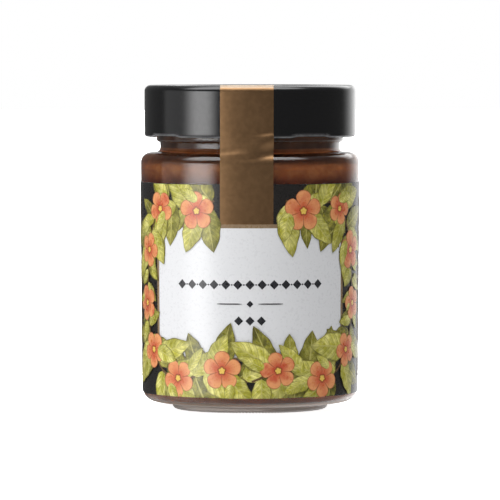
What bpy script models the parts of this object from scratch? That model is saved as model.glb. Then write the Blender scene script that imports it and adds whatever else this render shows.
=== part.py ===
"""A jar of jam in metres, +Z up, standing on z = 0 with its front facing -Y.

A clear glass jar with a twist-off lid is filled with jam to the neck. One paper label is wrapped
round it, and a tongue of the label runs up over the neck and the lid as a seal.
"""

import math

import bmesh
import bpy

MM = 0.001
SEGMENTS = 64
CLEARANCE = 0.3 * MM

# The glass body and its heel
BODY_RADIUS = 28.98 * MM
HEEL_RADIUS = 28.48 * MM
HEEL_ROUND = 3.38 * MM
HEEL_HEIGHT = 5.4 * MM
WALL = 2.4 * MM
FLOOR_TOP = 4.2 * MM
INNER_HEEL_ROUND = 3.6 * MM

# The foot ring and the hollow under the floor
FOOT_OUTER = 20.55 * MM
FOOT_INNER = 16.6 * MM
FOOT_ROUND = 0.95 * MM
FOOT_HEIGHT = 1.5 * MM
PUSH_UP = 0.95 * MM

# The shoulder, the neck and the finish that the lid closes on
SHOULDER_HEIGHT = 68.03 * MM
SHOULDER_ROUND = 2.68 * MM
INNER_SHOULDER_ROUND = 2.2 * MM
NECK_RADIUS = 23.8 * MM
NECK_FILLET = 1.5 * MM
NECK_TOP = 70.7 * MM
FINISH_RADIUS = 24.8 * MM
BEAD_ROUND = 0.9 * MM
BORE_RADIUS = 21.9 * MM
RIM_HEIGHT = 84.6 * MM
RIM_ROUND = 1.0 * MM
THREAD_HEIGHT = 77.0 * MM
THREAD_DEPTH = 1.4 * MM
THREAD_THICKNESS = 2.2 * MM
THREAD_RISE = 2.4 * MM
THREAD_STARTS = 4
THREAD_SHARE = 0.78
THREAD_FADE = 8

# The lid
LID_RADIUS = 28.0 * MM
LID_BOTTOM = 72.1 * MM
LID_TOP = 85.84 * MM
LID_EDGE_ROUND = 1.6 * MM
SHEET = 0.6 * MM
CURL_ROUND = 0.75 * MM
CHANNEL_RADIUS = 21.2 * MM
CHANNEL_SLOPE = 1.2 * MM
CHANNEL_UNDERSIDE = 84.9 * MM
PANEL_DROP = 0.8 * MM
BUTTON_RADIUS = 8.5 * MM
BUTTON_SLOPE = 1.8 * MM
BUTTON_DROP = 0.35 * MM
LUGS = 4
LUG_ANGLE = math.radians(36)
LUG_HALF_WIDTH = math.radians(15)
LUG_STEEPNESS = 1.6
LUG_REACH = 1.0 * MM
LUG_PRESS = 0.45 * MM
LUG_LIFT = 0.5 * MM

# The jam, which creeps up a little at the glass
JAM_HEIGHT = 79.5 * MM
JAM_DISH = 0.5 * MM
JAM_CREEP = 2.0 * MM

# The label, with angles from the front, positive to the right
PAPER = 0.25 * MM
LABEL_BOTTOM = 4.6 * MM
LABEL_TOP = 60.3 * MM
LABEL_END = math.radians(160)
PANEL_SIDE = math.radians(57)
PANEL_BOTTOM = 15.3 * MM
PANEL_TOP = 49.1 * MM
TONGUE_LEFT = math.radians(-16.6)
TONGUE_RIGHT = math.radians(12.45)
TONGUE_REACH = 16.0 * MM
TONGUE_CORNER = 3.0 * MM
TONGUE_SAG = 0.45 * MM
TONGUE_SETTLE = 3.5 * MM


def clear_scene():
    for thing in list(bpy.data.objects):
        bpy.data.objects.remove(thing, do_unlink=True)


def material(name, colour, roughness, metallic=0.0, transmission=0.0):
    made = bpy.data.materials.new(name)
    made.use_nodes = True
    shader = made.node_tree.nodes["Principled BSDF"]
    shader.inputs["Base Color"].default_value = (*colour, 1.0)
    shader.inputs["Roughness"].default_value = roughness
    shader.inputs["Metallic"].default_value = metallic
    shader.inputs["Transmission Weight"].default_value = transmission
    made.diffuse_color = (*colour, 1.0)
    return made


def around(radius, height, angle):
    """The place at an angle from the front, in radians and positive to the right."""
    return (radius * math.sin(angle), -radius * math.cos(angle), height)


def arc(radius, height, turn, start, end, steps):
    """Points round a centre in a section, from one angle in degrees to another: 0 is out, 90 is up."""
    angles = [math.radians(start + (end - start) * step / steps) for step in range(steps + 1)]
    return [(radius + turn * math.cos(a), height + turn * math.sin(a)) for a in angles]


def mix(low, high, share):
    return low + (high - low) * share


def ease(share):
    """A smooth step from 0 to 1."""
    share = min(max(share, 0.0), 1.0)
    return share * share * (3 - 2 * share)


def add_object(name, body, materials, sharp_angle=35):
    mesh = bpy.data.meshes.new(name)
    body.to_mesh(mesh)
    body.free()
    for each in materials:
        mesh.materials.append(each)
    mesh.shade_smooth()
    mesh.set_sharp_from_angle(angle=math.radians(sharp_angle))
    thing = bpy.data.objects.new(name, mesh)
    bpy.context.scene.collection.objects.link(thing)
    return thing


def turned(name, section, finish):
    """A solid turned about the axis. The section runs from the axis round to the axis again, and a
    point of it that changes on the way round is a function of the angle."""
    body = bmesh.new()
    rings = []
    for point in section:
        if not callable(point) and point[0] == 0:
            rings.append([body.verts.new((0, 0, point[1]))] * SEGMENTS)
            continue
        ring = []
        for step in range(SEGMENTS):
            angle = 2 * math.pi * step / SEGMENTS
            radius, height = point(angle) if callable(point) else point
            ring.append(body.verts.new(around(radius, height, angle)))
        rings.append(ring)
    for one, other in zip(rings, rings[1:]):
        for step in range(SEGMENTS):
            after = (step + 1) % SEGMENTS
            corners = (one[step], one[after], other[after], other[step])
            body.faces.new(dict.fromkeys(corners))
    bmesh.ops.recalc_face_normals(body, faces=body.faces)
    return add_object(name, body, [finish])


def body_radius(height):
    """The glass body's radius, which narrows a little towards the heel."""
    share = (height - HEEL_HEIGHT) / (SHOULDER_HEIGHT - SHOULDER_ROUND - HEEL_HEIGHT)
    return mix(HEEL_RADIUS, BODY_RADIUS, min(max(share, 0.0), 1.0))


def thread_point(outwards, upwards):
    """A corner of the thread ridges: each start climbs over its share of a turn, then fades out."""

    def place(angle):
        share = angle * THREAD_STARTS / (2 * math.pi) % 1.0
        along = min(share / THREAD_SHARE, 1.0)
        back = max(share - THREAD_SHARE, 0.0) / (1 - THREAD_SHARE)
        climb = THREAD_RISE * (along - ease(back) - 0.5)
        fade = ease(THREAD_FADE * min(along, 1 - along))
        radius = FINISH_RADIUS + THREAD_DEPTH * outwards * fade
        return (radius, THREAD_HEIGHT + climb + THREAD_THICKNESS * upwards)

    return place


def underside():
    """The glass from the middle of the hollow under the floor to the top of the heel."""
    foot_outer = FOOT_OUTER - FOOT_ROUND
    foot_inner = FOOT_INNER + FOOT_ROUND
    heel_centre = HEEL_RADIUS - HEEL_ROUND
    return [
        (0, PUSH_UP),
        *arc(foot_inner, FOOT_ROUND, FOOT_ROUND, 180, 270, 2),
        *arc(foot_outer, FOOT_ROUND, FOOT_ROUND, -90, 0, 3),
        (FOOT_OUTER + FOOT_ROUND / 2, FOOT_HEIGHT),
        *arc(heel_centre, HEEL_HEIGHT, HEEL_ROUND, -90, 0, 6),
    ]


def glass_outside():
    shoulder_centre = BODY_RADIUS - SHOULDER_ROUND
    shoulder_level = SHOULDER_HEIGHT - SHOULDER_ROUND
    fillet_centre = NECK_RADIUS + NECK_FILLET
    bead_centre = FINISH_RADIUS - BEAD_ROUND
    thread = [(0, -0.5), (1, -0.2), (1, 0.2), (0, 0.5)]
    return [
        *underside(),
        *arc(shoulder_centre, shoulder_level, SHOULDER_ROUND, 0, 90, 5),
        *arc(fillet_centre, SHOULDER_HEIGHT + NECK_FILLET, NECK_FILLET, 270, 180, 2),
        *arc(bead_centre, NECK_TOP + BEAD_ROUND, BEAD_ROUND, -90, 0, 2),
        *[thread_point(*corner) for corner in thread],
        *arc(FINISH_RADIUS - RIM_ROUND, RIM_HEIGHT - RIM_ROUND, RIM_ROUND, 0, 90, 2),
    ]


def glass_inside(inset=0.0):
    """The cavity wall from the bore down to the floor, moved into the cavity by an inset."""
    shoulder_level = SHOULDER_HEIGHT - WALL - INNER_SHOULDER_ROUND
    shoulder_centre = BODY_RADIUS - WALL - INNER_SHOULDER_ROUND
    lip = SHOULDER_HEIGHT - WALL + RIM_ROUND
    floor_centre = HEEL_RADIUS - WALL - INNER_HEEL_ROUND
    floor_level = FLOOR_TOP + INNER_HEEL_ROUND
    return [
        *arc(BORE_RADIUS + RIM_ROUND, lip, RIM_ROUND + inset, 180, 270, 2),
        *arc(shoulder_centre, shoulder_level, INNER_SHOULDER_ROUND - inset, 90, 0, 3),
        *arc(floor_centre, floor_level, INNER_HEEL_ROUND - inset, 0, -90, 4),
    ]


def make_glass():
    clear_glass = material("clear_glass", (0.86, 0.91, 0.9), 0.03, transmission=1.0)
    rim_inner = arc(BORE_RADIUS + RIM_ROUND, RIM_HEIGHT - RIM_ROUND, RIM_ROUND, 90, 180, 2)
    turned(
        "glass_jar",
        [*glass_outside(), *rim_inner, *glass_inside(), (0, FLOOR_TOP)],
        clear_glass,
    )


def make_jam():
    brown_jam = material("brown_jam", (0.16, 0.045, 0.018), 0.25)
    side = BORE_RADIUS - CLEARANCE
    turned(
        "jam",
        [
            (0, JAM_HEIGHT - JAM_DISH),
            (side - JAM_CREEP, JAM_HEIGHT - JAM_DISH),
            (side, JAM_HEIGHT),
            *glass_inside(CLEARANCE),
            (0, FLOOR_TOP + CLEARANCE),
        ],
        brown_jam,
    )


def lug_share(angle):
    """How far a place on the lid's curl is pressed into a lug, from 0 to 1."""
    apart = 2 * math.pi / LUGS
    off = abs((angle - LUG_ANGLE + apart / 2) % apart - apart / 2)
    return ease(LUG_STEEPNESS * (1 - off / LUG_HALF_WIDTH))


def curl_point(radius, height, inwards, upwards):
    """A point of the curl, which the lugs press in and lift."""

    def place(angle):
        share = lug_share(angle)
        return (radius - inwards * share, height + upwards * share)

    return place


def lid_outside():
    panel = LID_TOP - PANEL_DROP
    edge_centre = LID_RADIUS - LID_EDGE_ROUND
    channel_foot = CHANNEL_RADIUS - CHANNEL_SLOPE
    return [
        (0, panel - BUTTON_DROP),
        (BUTTON_RADIUS - BUTTON_SLOPE, panel - BUTTON_DROP),
        (BUTTON_RADIUS, panel),
        (channel_foot, panel),
        (mix(channel_foot, CHANNEL_RADIUS, 0.3), mix(panel, LID_TOP, 0.15)),
        (mix(channel_foot, CHANNEL_RADIUS, 0.7), mix(panel, LID_TOP, 0.85)),
        (CHANNEL_RADIUS, LID_TOP),
        *arc(edge_centre, LID_TOP - LID_EDGE_ROUND, LID_EDGE_ROUND, 90, 0, 5),
    ]


def lid_curl():
    """The rolled lower edge, from the foot of the skirt round under it and up inside."""
    centre = LID_RADIUS - CURL_ROUND
    level = LID_BOTTOM + CURL_ROUND
    curl = [(LID_RADIUS, level + 2 * CURL_ROUND)]
    for radius, height in arc(centre, level, CURL_ROUND, 0, -180, 5):
        share = (LID_RADIUS - radius) / (2 * CURL_ROUND)
        inwards = mix(LUG_PRESS, LUG_REACH, share)
        curl.append(curl_point(radius, height, inwards, LUG_LIFT))
    inner = LID_RADIUS - 2 * CURL_ROUND
    curl.append(curl_point(inner, level + CURL_ROUND / 2, LUG_REACH, LUG_LIFT))
    curl.append(curl_point(LID_RADIUS - SHEET, level + CURL_ROUND, LUG_PRESS, LUG_LIFT))
    return curl


def make_lid():
    black_lacquer = material("black_lacquer", (0.02, 0.02, 0.021), 0.25)
    inner_edge = LID_RADIUS - SHEET
    turned(
        "lid",
        [
            *lid_outside(),
            *lid_curl(),
            (inner_edge, LID_BOTTOM + 5 * CURL_ROUND),
            (inner_edge, CHANNEL_UNDERSIDE - SHEET),
            (inner_edge - SHEET, CHANNEL_UNDERSIDE),
            (CHANNEL_RADIUS - SHEET, CHANNEL_UNDERSIDE),
            (CHANNEL_RADIUS - CHANNEL_SLOPE - SHEET, LID_TOP - PANEL_DROP - SHEET),
            (BUTTON_RADIUS, LID_TOP - PANEL_DROP - SHEET),
            (BUTTON_RADIUS - BUTTON_SLOPE, LID_TOP - PANEL_DROP - BUTTON_DROP - SHEET),
            (0, LID_TOP - PANEL_DROP - BUTTON_DROP - SHEET),
        ],
        black_lacquer,
    )


def spread(ends, counts):
    """Angles from one end to the next, in the counts of equal steps between them."""
    angles = [ends[0]]
    for low, high, count in zip(ends, ends[1:], counts):
        angles += [mix(low, high, step / count) for step in range(1, count + 1)]
    return angles


def label_rows():
    """The label's section from its lower edge to its upper edge, clear of the glass."""
    drop = HEEL_HEIGHT - LABEL_BOTTOM
    low = HEEL_RADIUS - HEEL_ROUND + math.sqrt(HEEL_ROUND**2 - drop**2)
    heights = (HEEL_HEIGHT, PANEL_BOTTOM, PANEL_TOP, LABEL_TOP)
    return [
        (low + CLEARANCE, LABEL_BOTTOM),
        *[(body_radius(height) + CLEARANCE, height) for height in heights],
    ]


def tongue_rows():
    """The tongue's section up to the lid's upper side. It sags a little where it spans the neck."""
    outer = BODY_RADIUS + CLEARANCE
    skirt = LID_RADIUS + CLEARANCE
    shoulder = SHOULDER_HEIGHT - SHOULDER_ROUND
    rows = [(outer, shoulder)]
    span = 5
    for step in range(1, span):
        share = step / span
        sag = TONGUE_SAG * math.sin(math.pi * share)
        rows.append((mix(outer, skirt, ease(share)) - sag, mix(shoulder, LID_BOTTOM, share)))
    edge_centre = LID_RADIUS - LID_EDGE_ROUND
    edge_round = LID_EDGE_ROUND + CLEARANCE
    rows.append((skirt, LID_BOTTOM))
    rows += arc(edge_centre, LID_TOP - LID_EDGE_ROUND, edge_round, 0, 90, 5)
    return rows


def tongue_end_rows(angles):
    """The tongue's rows on top of the lid: parallel sides, a rounded end, settling on the panel."""
    edge = LID_RADIUS - LID_EDGE_ROUND
    middle = (TONGUE_LEFT + TONGUE_RIGHT) / 2
    half = (TONGUE_RIGHT - TONGUE_LEFT) / 2
    stops = (0.15, 0.3, 0.4, 0.5, 0.7, 0.9, 1.0)
    rows = []
    for stop in stops:
        row = []
        for angle in angles:
            off = angle - middle
            corner = TONGUE_CORNER * (abs(off) / half) ** 4
            sideways = edge * math.sin(off)
            forwards = mix(-edge * math.cos(off), TONGUE_REACH - edge - corner, stop)
            settled = ease((CHANNEL_RADIUS - math.hypot(sideways, forwards)) / TONGUE_SETTLE)
            height = LID_TOP + CLEARANCE - PANEL_DROP * settled
            turned_x = sideways * math.cos(middle) - forwards * math.sin(middle)
            turned_y = sideways * math.sin(middle) + forwards * math.cos(middle)
            row.append((turned_x, turned_y, height))
        rows.append(row)
    return rows


def make_label():
    bronze = material("bronze_paper", (0.12, 0.07, 0.035), 0.45)
    black = material("black_paper", (0.02, 0.018, 0.015), 0.4)
    white = material("white_paper", (0.8, 0.8, 0.8), 0.5)
    ends = (-LABEL_END, -PANEL_SIDE, TONGUE_LEFT, TONGUE_RIGHT, PANEL_SIDE, LABEL_END)
    angles = spread(ends, (18, 7, 5, 8, 18))
    tongue = [angle for angle in angles if TONGUE_LEFT - 1e-9 <= angle <= TONGUE_RIGHT + 1e-9]
    first = angles.index(tongue[0])
    body = bmesh.new()

    rows = [[around(*point, angle) for angle in angles] for point in label_rows()]
    grid = [[body.verts.new(place) for place in row] for row in rows]
    upper = [[around(*point, angle) for angle in tongue] for point in tongue_rows()]
    upper += tongue_end_rows(tongue)
    strip = [grid[-1][first : first + len(tongue)]]
    strip += [[body.verts.new(place) for place in row] for row in upper]

    def fill(lower, higher, field):
        for column in range(len(lower) - 1):
            corners = (lower[column], lower[column + 1], higher[column + 1], higher[column])
            body.faces.new(corners).material_index = field(column)

    def plain_black(column):
        return 1

    def panel(column):
        inside = abs(angles[column] + angles[column + 1]) / 2 < PANEL_SIDE
        return 2 if inside else 1

    def over_panel(column):
        inside = abs(angles[column] + angles[column + 1]) / 2 < PANEL_SIDE
        return 0 if inside else 1

    fields = (plain_black, plain_black, panel, over_panel)
    for lower, higher, field in zip(grid, grid[1:], fields):
        fill(lower, higher, field)
    for lower, higher in zip(strip, strip[1:]):
        fill(lower, higher, lambda column: 0)

    label = add_object("label", body, [bronze, black, white])
    paper = label.modifiers.new("Paper", "SOLIDIFY")
    paper.thickness = PAPER
    paper.offset = 1.0
    paper.use_even_offset = True


def main():
    clear_scene()
    make_glass()
    make_jam()
    make_lid()
    make_label()


main()
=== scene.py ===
import math
import random

import bmesh
import bpy
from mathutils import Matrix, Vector


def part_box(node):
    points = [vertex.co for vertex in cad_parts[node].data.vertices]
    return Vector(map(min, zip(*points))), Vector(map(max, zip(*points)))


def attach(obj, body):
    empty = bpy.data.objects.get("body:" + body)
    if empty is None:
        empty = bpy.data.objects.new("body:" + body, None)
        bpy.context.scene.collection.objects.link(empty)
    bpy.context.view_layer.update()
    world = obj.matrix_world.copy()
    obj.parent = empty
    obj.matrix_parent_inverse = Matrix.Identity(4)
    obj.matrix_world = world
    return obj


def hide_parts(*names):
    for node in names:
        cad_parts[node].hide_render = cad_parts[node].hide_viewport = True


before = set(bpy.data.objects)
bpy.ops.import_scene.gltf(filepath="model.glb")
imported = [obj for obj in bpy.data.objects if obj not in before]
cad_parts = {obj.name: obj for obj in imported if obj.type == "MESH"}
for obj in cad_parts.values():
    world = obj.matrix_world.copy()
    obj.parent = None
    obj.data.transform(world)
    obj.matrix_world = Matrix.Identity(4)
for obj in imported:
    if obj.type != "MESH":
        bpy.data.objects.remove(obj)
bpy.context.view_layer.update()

MM = 0.001
# The gap that the solids keep between them
CLEARANCE = 0.3 * MM

# Sizes read from the frame
GLASS_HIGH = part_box("glass_jar")[1]
LID_LOW, LID_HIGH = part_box("lid")
JAM_LOW, JAM_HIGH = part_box("jam")
BODY_RADIUS = GLASS_HIGH.x
RIM_HEIGHT = GLASS_HIGH.z
LID_RADIUS = LID_HIGH.x
LID_BOTTOM = LID_LOW.z
LID_TOP = LID_HIGH.z
LABEL_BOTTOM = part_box("label")[0].z
FLOOR_TOP = JAM_LOW.z - CLEARANCE
JAM_HEIGHT = JAM_HIGH.z

# The glass
TAPER = 0.5 * MM
HEEL_RADIUS = BODY_RADIUS - TAPER
HEEL_ROUND = 3.38 * MM
HEEL_HEIGHT = 5.4 * MM
WALL = 2.4 * MM
INNER_HEEL_ROUND = 3.6 * MM
FOOT_OUTER = 20.55 * MM
FOOT_INNER = 16.6 * MM
FOOT_ROUND = 0.95 * MM
FOOT_HEIGHT = 1.5 * MM
FROST_HEIGHT = 2.6 * MM
FROST_FADE = 1.0 * MM
PUSH_UP = 0.95 * MM
STIPPLES = 144
STIPPLE_DEPTH = 0.3 * MM
GLASS_SEGMENTS = 4 * STIPPLES
SHOULDER_HEIGHT = 68.03 * MM
SHOULDER_ROUND = 2.68 * MM
INNER_SHOULDER_ROUND = 2.2 * MM
NECK_RADIUS = 23.8 * MM
NECK_FILLET = 1.5 * MM
NECK_TOP = 70.7 * MM
FINISH_RADIUS = 24.8 * MM
BEAD_ROUND = 0.9 * MM
BORE_RADIUS = 21.9 * MM
RIM_ROUND = 1.0 * MM
THREAD_HEIGHT = 77.0 * MM
THREAD_DEPTH = 1.2 * MM
THREAD_THICKNESS = 2.2 * MM
THREAD_RISE = 2.4 * MM
THREAD_STARTS = 4
THREAD_SHARE = 0.78
THREAD_FADE = 8

# The jam reaches this far into the glass, so that no air shows between them
JAM_INTO_GLASS = 0.06 * MM
JAM_SEGMENTS = 192
# Where painted shade or light falls on the jam, in millimetres up: start, full, full, end
JAM_LABEL_SHADOW = (52.0, 58.0, 60.0, 63.5)
JAM_ROUND_SHADE = (65.0, 65.7, 65.9, 66.15)
JAM_NECK_LIGHT = (65.9, 66.15, 67.0, 67.8)

# The lid
LID_EDGE_ROUND = 1.6 * MM
SHEET = 0.35 * MM
SKIRT_INSIDE_FOOT = 3.75 * MM
CHANNEL_RADIUS = 21.2 * MM
CHANNEL_SLOPE = 1.2 * MM
CHANNEL_UNDERSIDE = RIM_HEIGHT + CLEARANCE
PANEL_DROP = 0.8 * MM
BUTTON_RADIUS = 8.5 * MM
BUTTON_SLOPE = 1.8 * MM
BUTTON_DROP = 0.35 * MM
LUGS = 4
LUG_ANGLE = math.radians(36)
LUG_HALF_WIDTH = math.radians(13.5)
LUG_SLOPE = math.radians(5.5)
LID_SEGMENTS = 256

# The label, with angles from the front, positive to the right
PAPER = 0.11 * MM
GLUE = 0.03 * MM
INK = 0.05 * MM
INK_STEP = 0.008 * MM
LABEL_TOP = 60.3 * MM
LABEL_END = math.radians(160)
LABEL_RADIUS = BODY_RADIUS + GLUE + PAPER
PANEL_SIDE = math.radians(55.5)
PANEL_BOTTOM = 15.3 * MM
PANEL_TOP = 48.9 * MM
BORDER = 1.0 * MM
TONGUE_LEFT = math.radians(-15.6)
TONGUE_RIGHT = math.radians(12.1)
TONGUE_REACH = 16.0 * MM
TONGUE_CORNER = 3.0 * MM
TONGUE_SAG = 0.45 * MM
TONGUE_SETTLE = 3.5 * MM
PAPER_ROUGHNESS = (0.25, 0.33)
BRONZE_ROUGHNESS = (0.38, 0.46)
# The paper's mesh: its widest column, and its highest rows on the body, shoulder, neck and lid
COLUMN = math.radians(0.8)
BODY_ROW = 4 * MM
SHOULDER_ROW = 1.5 * MM
NECK_ROW = 0.35 * MM
LID_ROW = 0.3 * MM
LID_TOP_ROWS = 24
NEARLY = 1e-9

# The print: its margin to the paper's edge, and how close two places are the same one
EDGE = 0.15 * MM
SEAM = 0.001 * MM
PETALS = 5
PETAL_WAIST = 0.64
PETAL_ROUNDNESS = 0.55

# The studio in azimuth bands, in degrees from the front: start, rise, end, fall, brightness. The
# heights are sines of the elevation.
KEY_BAND = (-80.0, 22.0, -49.0, 17.0, 5.7)
LEFT_BAND = (-110.0, 7.0, -80.0, 40.0, 0.55)
FRONT_BAND = (-70.0, 20.0, -15.0, 45.0, 0.12)
WALL_BAND = (118.0, 36.0, 170.0, 7.0, 1.5)
KEY_HEIGHT = (0.08, 0.27)
SIDE_HEIGHT = (0.1, 0.42)
TOP_HEIGHT = (0.6, 0.95)
TOP_LIGHT = 0.4
BELOW_HEIGHT = (-0.45, -0.15)
BELOW_LIGHT = 0.8
AMBIENT = 0.13
FLOOR_GLOW = 0.9
BACKDROP = (168.0, 176.0, 0.4)
# A panel of light overhead: its place on the sky from the left and from the front, and its reach
OVERHEAD_MIDDLE = (-0.08, -0.16)
OVERHEAD_REACH = (0.8, 0.5)
OVERHEAD_SOFT = 0.5
OVERHEAD_LIGHT = 5.0
# A strip light high behind, with azimuths from straight behind and positive to the right
STRIP_BAND = (-9.0, 5.0, 24.0, 30.0, 2.4)
STRIP_HEIGHT = (0.22, 0.34, 0.75, 0.9)

# The camera, which stands far off and looks slightly down
CAMERA_DISTANCE = 1204 * MM
CAMERA_HEIGHT = 95.1 * MM
CAMERA_AIM = 42.0 * MM
LENS = 326.4


def mix(low, high, share):
    return low + (high - low) * share


def ease(share):
    """A smooth step from 0 to 1."""
    share = min(max(share, 0.0), 1.0)
    return share * share * (3 - 2 * share)


def around(radius, height, angle):
    """The place at an angle from the front, in radians and positive to the right."""
    return Vector((radius * math.sin(angle), -radius * math.cos(angle), height))


def turn(vector, angle):
    """A flat vector turned to the left."""
    cosine, sine = math.cos(angle), math.sin(angle)
    return Vector((vector.x * cosine - vector.y * sine, vector.x * sine + vector.y * cosine))


def arc(radius, height, size, start, end, steps):
    """Points round a centre in a section, from one angle in degrees to another: 0 is out, 90 is up."""
    angles = [math.radians(mix(start, end, step / steps)) for step in range(steps + 1)]
    return [(radius + size * math.cos(a), height + size * math.sin(a)) for a in angles]


def corners_of(lower, higher, index):
    """The corners of a face between two rows of a grid."""
    return (lower[index], lower[index + 1], higher[index + 1], higher[index])


def new_piece(name, body, materials, node, sharp_angle=60):
    mesh = bpy.data.meshes.new(name)
    body.to_mesh(mesh)
    body.free()
    for each in materials:
        mesh.materials.append(each)
    mesh.shade_smooth()
    mesh.set_sharp_from_angle(angle=math.radians(sharp_angle))
    piece = bpy.data.objects.new(name, mesh)
    bpy.context.scene.collection.objects.link(piece)
    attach(piece, "root")
    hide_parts(node)
    return piece


def thicken(piece, thickness, offset, rim_material=0):
    """Gives a sheet its thickness, with crisp edges all round."""
    sheet = piece.modifiers.new("Thickness", "SOLIDIFY")
    sheet.thickness = thickness
    sheet.offset = offset
    sheet.material_offset_rim = rim_material
    shaped = piece.evaluated_get(bpy.context.evaluated_depsgraph_get())
    mesh = bpy.data.meshes.new_from_object(shaped)
    piece.modifiers.clear()
    piece.data = mesh
    mesh.set_sharp_from_angle(angle=math.radians(50))


def turned(section, segments, marked=()):
    """A solid turned about the axis. The section runs from the axis round to the axis again, and a
    point of it that changes on the way round is a function of the angle. The marked steps of the
    section take the second material."""
    body = bmesh.new()
    rings = []
    for point in section:
        if not callable(point) and point[0] == 0:
            rings.append([body.verts.new((0, 0, point[1]))] * segments)
            continue
        ring = []
        for step in range(segments):
            angle = 2 * math.pi * step / segments
            radius, height = point(angle) if callable(point) else point
            ring.append(body.verts.new(around(radius, height, angle)))
        rings.append(ring)
    for index, (one, other) in enumerate(zip(rings, rings[1:])):
        for step in range(segments):
            after = (step + 1) % segments
            corners = (one[step], one[after], other[after], other[step])
            face = body.faces.new(dict.fromkeys(corners))
            face.material_index = 1 if index in marked else 0
    bmesh.ops.recalc_face_normals(body, faces=body.faces)
    return body


# Materials


class Nodes:
    """Short ways to add nodes to a tree."""

    def __init__(self, tree):
        self.tree = tree

    def node(self, kind, inputs=None, **settings):
        made = self.tree.nodes.new("ShaderNode" + kind)
        for key, value in settings.items():
            setattr(made, key, value)
        for key, value in (inputs or {}).items():
            self.set(made.inputs[key], value)
        return made

    def set(self, socket, value):
        if isinstance(value, bpy.types.NodeSocket):
            self.tree.links.new(value, socket)
        elif isinstance(value, tuple) and len(value) == 3 and socket.type == "RGBA":
            socket.default_value = (*value, 1.0)
        else:
            socket.default_value = value

    def math(self, operation, one, other=0.0):
        return self.node("Math", {0: one, 1: other}, operation=operation).outputs[0]

    def times(self, one, other):
        return self.math("MULTIPLY", one, other)

    def add(self, total, *others):
        for other in others:
            total = self.math("ADD", total, other)
        return total

    def split(self, vector):
        return self.node("SeparateXYZ", {0: vector}).outputs

    def step(self, value, low, high, start=0.0, end=1.0):
        """A smooth step of a value from low to high."""
        inputs = {"Value": value, 1: low, 2: high, 3: start, 4: end}
        return self.node("MapRange", inputs, interpolation_type="SMOOTHSTEP").outputs[0]


class Look(Nodes):
    """A Principled material with the nodes that feed it."""

    def __init__(self, name, **settings):
        self.material = bpy.data.materials.new(name)
        self.material.use_nodes = True
        super().__init__(self.material.node_tree)
        self.shader = self.tree.nodes["Principled BSDF"]
        for key, value in settings.items():
            self.feed(key.replace("_", " "), value)

    def feed(self, name, value):
        self.set(self.shader.inputs[name], value)

    def blend(self, share, one, other, how="MIX"):
        made = self.node("Mix", data_type="RGBA", blend_type=how)
        for index, value in ((0, share), (6, one), (7, other)):
            self.set(made.inputs[index], value)
        return made.outputs[2]

    def tint(self, share, colour, factor):
        """A colour, multiplied by a factor to a share."""
        return self.blend(share, colour, self.blend(1.0, colour, factor, "MULTIPLY"))

    def band(self, height, stretch):
        """A smooth rise and fall over a stretch in millimetres: start, full, full, end."""
        start, full, last, end = (part * MM for part in stretch)
        return self.times(self.step(height, start, full), self.step(height, last, end, 1.0, 0.0))

    def noise(self, scale, detail=3.0, roughness=0.5):
        inputs = {"Scale": scale, "Detail": detail, "Roughness": roughness, "Vector": self.place()}
        return self.node("TexNoise", inputs).outputs[0]

    def place(self):
        """The place on the piece in metres."""
        return self.node("TexCoord").outputs["Object"]

    def bump(self, height, strength, distance):
        inputs = {"Height": height, "Strength": strength, "Distance": distance}
        self.feed("Normal", self.node("Bump", inputs).outputs[0])


def glass_look():
    """Clear glass with a frosted foot. Its brown-grey tint is painted for the jam seen through it, and
    its painted shade is darkest where it stands.
    """
    look = Look("clear_glass", IOR=1.5, Transmission_Weight=1.0)
    x, y, height = look.split(look.place())
    radius = look.math("SQRT", look.add(look.times(x, x), look.times(y, y)))
    foot = look.step(height, FROST_HEIGHT, FROST_HEIGHT + FROST_FADE, 1.0, 0.0)
    foot = look.times(foot, look.step(radius, FOOT_INNER - 1.0 * MM, FOOT_INNER))
    look.feed("Roughness", look.step(foot, 0.0, 1.0, 0.015, 0.45))
    # Painted: the frosted foot's brown-grey tint stands in for the jam seen through it, browner towards
    # the heel
    brown = look.blend(look.step(height, 0.8 * MM, 2.4 * MM), (0.58, 0.49, 0.43), (0.43, 0.26, 0.13))
    colour = look.blend(foot, (0.93, 0.96, 0.955), brown)
    # Painted shade: the stipples' small feet, where the jar stands, are darkened
    feet = look.times(look.step(height, 0.1 * MM, 0.5 * MM, 1.0, 0.0), foot)
    look.feed("Base Color", look.blend(feet, colour, (0.2, 0.17, 0.16)))
    cloudy = look.add(look.times(foot, 0.3), look.times(feet, 0.4))
    look.feed("Transmission Weight", look.math("SUBTRACT", 1.0, cloudy))
    look.bump(look.noise(90.0, 2.0), 0.12, 0.4 * MM)
    return look.material


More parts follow.
